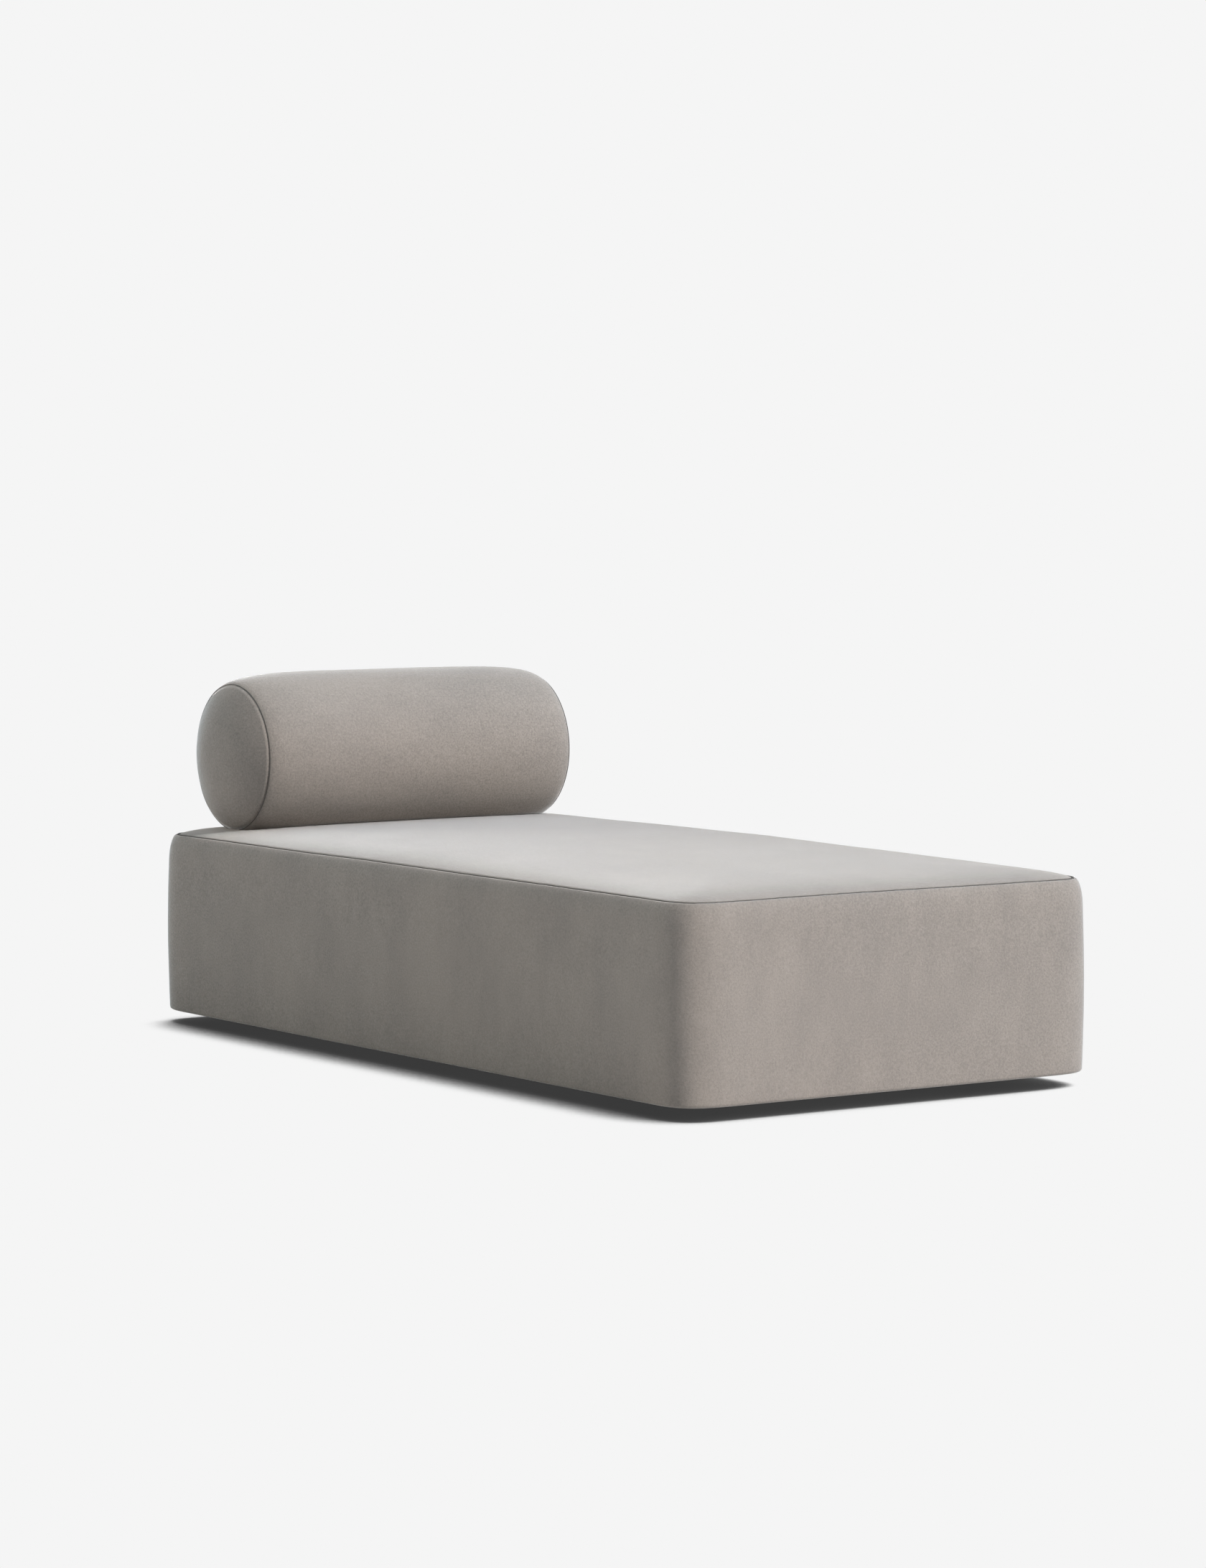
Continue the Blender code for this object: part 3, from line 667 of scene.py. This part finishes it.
def zip_teeth():
    """Teeth that mesh from both sides, between two low cords."""
    out = Vector((math.cos(ZIP_ANGLE), 0, math.sin(ZIP_ANGLE)))
    across = Vector((-out.z, 0, out.x))
    along = Vector((0, 1, 0))
    bm = bmesh.new()

    def block(centre, half):
        """A box from its middle and its half sizes across, along and out."""
        corners = []
        for i in (-1, 1):
            for j in (-1, 1):
                for k in (-1, 1):
                    corner = centre + across * half[0] * i + along * half[1] * j + out * half[2] * k
                    corners.append(bm.verts.new(corner))
        for face in ((0, 1, 3, 2), (4, 6, 7, 5), (0, 4, 5, 1), (2, 3, 7, 6), (0, 2, 6, 4), (1, 5, 7, 3)):
            bm.faces.new([corners[i] for i in face])

    count = int(2 * (ZIP_HALF - ZIP_END) / TOOTH_PITCH)
    for number in range(count):
        side = 1 if number % 2 else -1
        y = -ZIP_HALF + ZIP_END + TOOTH_PITCH * (number + 0.5)
        block(ZIP_CENTRE + across * side * TOOTH_ASIDE + along * y, TOOTH_HALF)
    for side in (-1, 1):
        middle = ZIP_CENTRE + across * side * CORD_ASIDE - out * CORD_SUNK
        block(middle, (0.00028, ZIP_HALF - 0.0005, 0.0002))
    obj = add_mesh("zip_teeth", bm, finishes["zip_metal"], 20)
    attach(obj, "bolster")
    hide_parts("zip_chain")


zip_teeth()

# ---------------------------------------------------------------- floor

BACKDROP = 0.913
FLOOR_GREY = (0.66, 0.66, 0.66)

# The painted contact shade under the bed: the floor glows for the eye, dimmed by how open it is above
# each point.
# It is darkest up to DEEP_OPEN, a little lighter up to EDGE_OPEN, and then quickly the backdrop's own
# brightness.
SHADE_REACH = 0.18
SHADE_LEAN = Vector((0.0, 0.60, 0.80)).normalized()
SHADE_SAMPLES = 16
DEEP_OPEN, EDGE_OPEN, CLEAR_OPEN = 0.15, 0.41, 0.63
DEEP_SHADE, EDGE_SHADE = 0.038, 0.085


def floor_material():
    """Lit like plain grey, but to the eye a glowing even pale ground with a painted shade under the bed.
    """
    n = Nodes("pale_floor_painted_shade", FLOOR_GREY, 1.0)
    n.shader.inputs["Specular IOR Level"].default_value = 0.0
    shade = n.add("ShaderNodeAmbientOcclusion", Distance=SHADE_REACH)
    shade.samples = SHADE_SAMPLES
    lean = n.add("ShaderNodeCombineXYZ", X=SHADE_LEAN.x, Y=SHADE_LEAN.y, Z=SHADE_LEAN.z)
    n.link(lean.outputs["Vector"], shade.inputs["Normal"])
    openness = shade.outputs["AO"]
    deep = n.ramp(openness, DEEP_SHADE, EDGE_SHADE, DEEP_OPEN, EDGE_OPEN)
    clear = n.ramp(openness, 0.0, BACKDROP - EDGE_SHADE, EDGE_OPEN, CLEAR_OPEN)
    # The glow the eye sees: an even pale ground, with the painted shade under the bed.
    painted_ground_and_shade = n.add("ShaderNodeEmission")
    n.link(n.math("ADD", deep, clear), painted_ground_and_shade.inputs["Strength"])
    eye_ray = n.add("ShaderNodeLightPath")
    both = n.add("ShaderNodeMixShader")
    n.link(eye_ray.outputs["Is Camera Ray"], both.inputs["Fac"])
    n.link(n.shader.outputs["BSDF"], both.inputs[1])
    n.link(painted_ground_and_shade.outputs["Emission"], both.inputs[2])
    n.link(both.outputs["Shader"], n.tree.nodes["Material Output"].inputs["Surface"])
    return n.material


floor_mesh = bmesh.new()
bmesh.ops.create_grid(floor_mesh, x_segments=1, y_segments=1, size=90)
floor = add_mesh("floor", floor_mesh, floor_material())

# ---------------------------------------------------------------- light

AMBIENT = (0.060, 0.022, 0.0)
GLOW = (1.29, 1.31, 1.36)
GLOW_FROM = Vector((-0.826, 0.564, 0.10)).normalized()
GLOW_START = 0.2

scene = bpy.context.scene
scene.view_settings.view_transform = "Standard"


def studio_world():
    """An even pale backdrop to the eye, and a broad glow from behind the bed to everything else."""
    world = bpy.data.worlds.new("studio")
    world.use_nodes = True
    tree = world.node_tree
    surround = tree.nodes["Background"]
    direction = tree.nodes.new("ShaderNodeTexCoord")
    facing = tree.nodes.new("ShaderNodeVectorMath")
    facing.operation = "DOT_PRODUCT"
    facing.inputs[1].default_value = GLOW_FROM
    tree.links.new(direction.outputs["Generated"], facing.inputs[0])
    spread = tree.nodes.new("ShaderNodeMapRange")
    spread.interpolation_type = "SMOOTHSTEP"
    spread.inputs["From Min"].default_value = GLOW_START
    tree.links.new(facing.outputs["Value"], spread.inputs["Value"])
    glow = tree.nodes.new("ShaderNodeMix")
    glow.data_type = "RGBA"
    tree.links.new(spread.outputs["Result"], glow.inputs["Factor"])
    away, towards = [socket for socket in glow.inputs if socket.type == "RGBA"]
    away.default_value = (*AMBIENT, 1)
    towards.default_value = (*(a + b for a, b in zip(AMBIENT, GLOW)), 1)
    mixed = next(socket for socket in glow.outputs if socket.type == "RGBA")
    tree.links.new(mixed, surround.inputs["Color"])
    backdrop = tree.nodes.new("ShaderNodeBackground")
    backdrop.inputs["Color"].default_value = (BACKDROP, BACKDROP, BACKDROP, 1)
    eye_ray = tree.nodes.new("ShaderNodeLightPath")
    both = tree.nodes.new("ShaderNodeMixShader")
    tree.links.new(eye_ray.outputs["Is Camera Ray"], both.inputs["Fac"])
    tree.links.new(surround.outputs["Background"], both.inputs[1])
    tree.links.new(backdrop.outputs["Background"], both.inputs[2])
    tree.links.new(both.outputs["Shader"], tree.nodes["World Output"].inputs["Surface"])
    return world


def add_sun(name, energy, colour, towards, spread):
    """A soft light from far away. towards points from the bed to the light, spread is in degrees."""
    light = bpy.data.lights.new(name, "SUN")
    light.energy = energy
    light.color = colour
    light.angle = math.radians(spread)
    obj = bpy.data.objects.new(name, light)
    obj.rotation_euler = Vector(towards).to_track_quat("Z", "Y").to_euler()
    scene.collection.objects.link(obj)


scene.world = studio_world()
add_sun("key", 1.75, (0.992, 1.0, 0.976), (1.0, 0.44, 0.40), 6)
add_sun("key_high", 1.96, (1.0, 0.876, 0.846), (1.0, 0.44, 1.20), 8)
add_sun("overhead", 1.73, (0.616, 0.869, 1.0), (0, 0, 1), 60)
add_sun("fill", 1.16, (1.0, 0.985, 0.904), (-1.0, -0.6, 0.4), 40)
add_sun("back", 1.90, (0.721, 0.842, 1.0), (0.2, 1.0, 0.4), 40)

# ---------------------------------------------------------------- camera

CAMERA_LENS = 111.79
CAMERA_PLACE = (8.2783, -5.6488, 1.2657)
CAMERA_TURN = math.radians(55.683)
CAMERA_DIP = math.radians(4.062)

camera = bpy.data.cameras.new("camera")
camera.lens = CAMERA_LENS
camera.sensor_width = 36
camera.clip_end = 300
look = Vector((-math.sin(CAMERA_TURN), math.cos(CAMERA_TURN), 0)) * math.cos(CAMERA_DIP)
look.z = -math.sin(CAMERA_DIP)
eye = bpy.data.objects.new("camera", camera)
eye.location = CAMERA_PLACE
eye.rotation_euler = look.to_track_quat("-Z", "Y").to_euler()
scene.collection.objects.link(eye)
scene.camera = eye
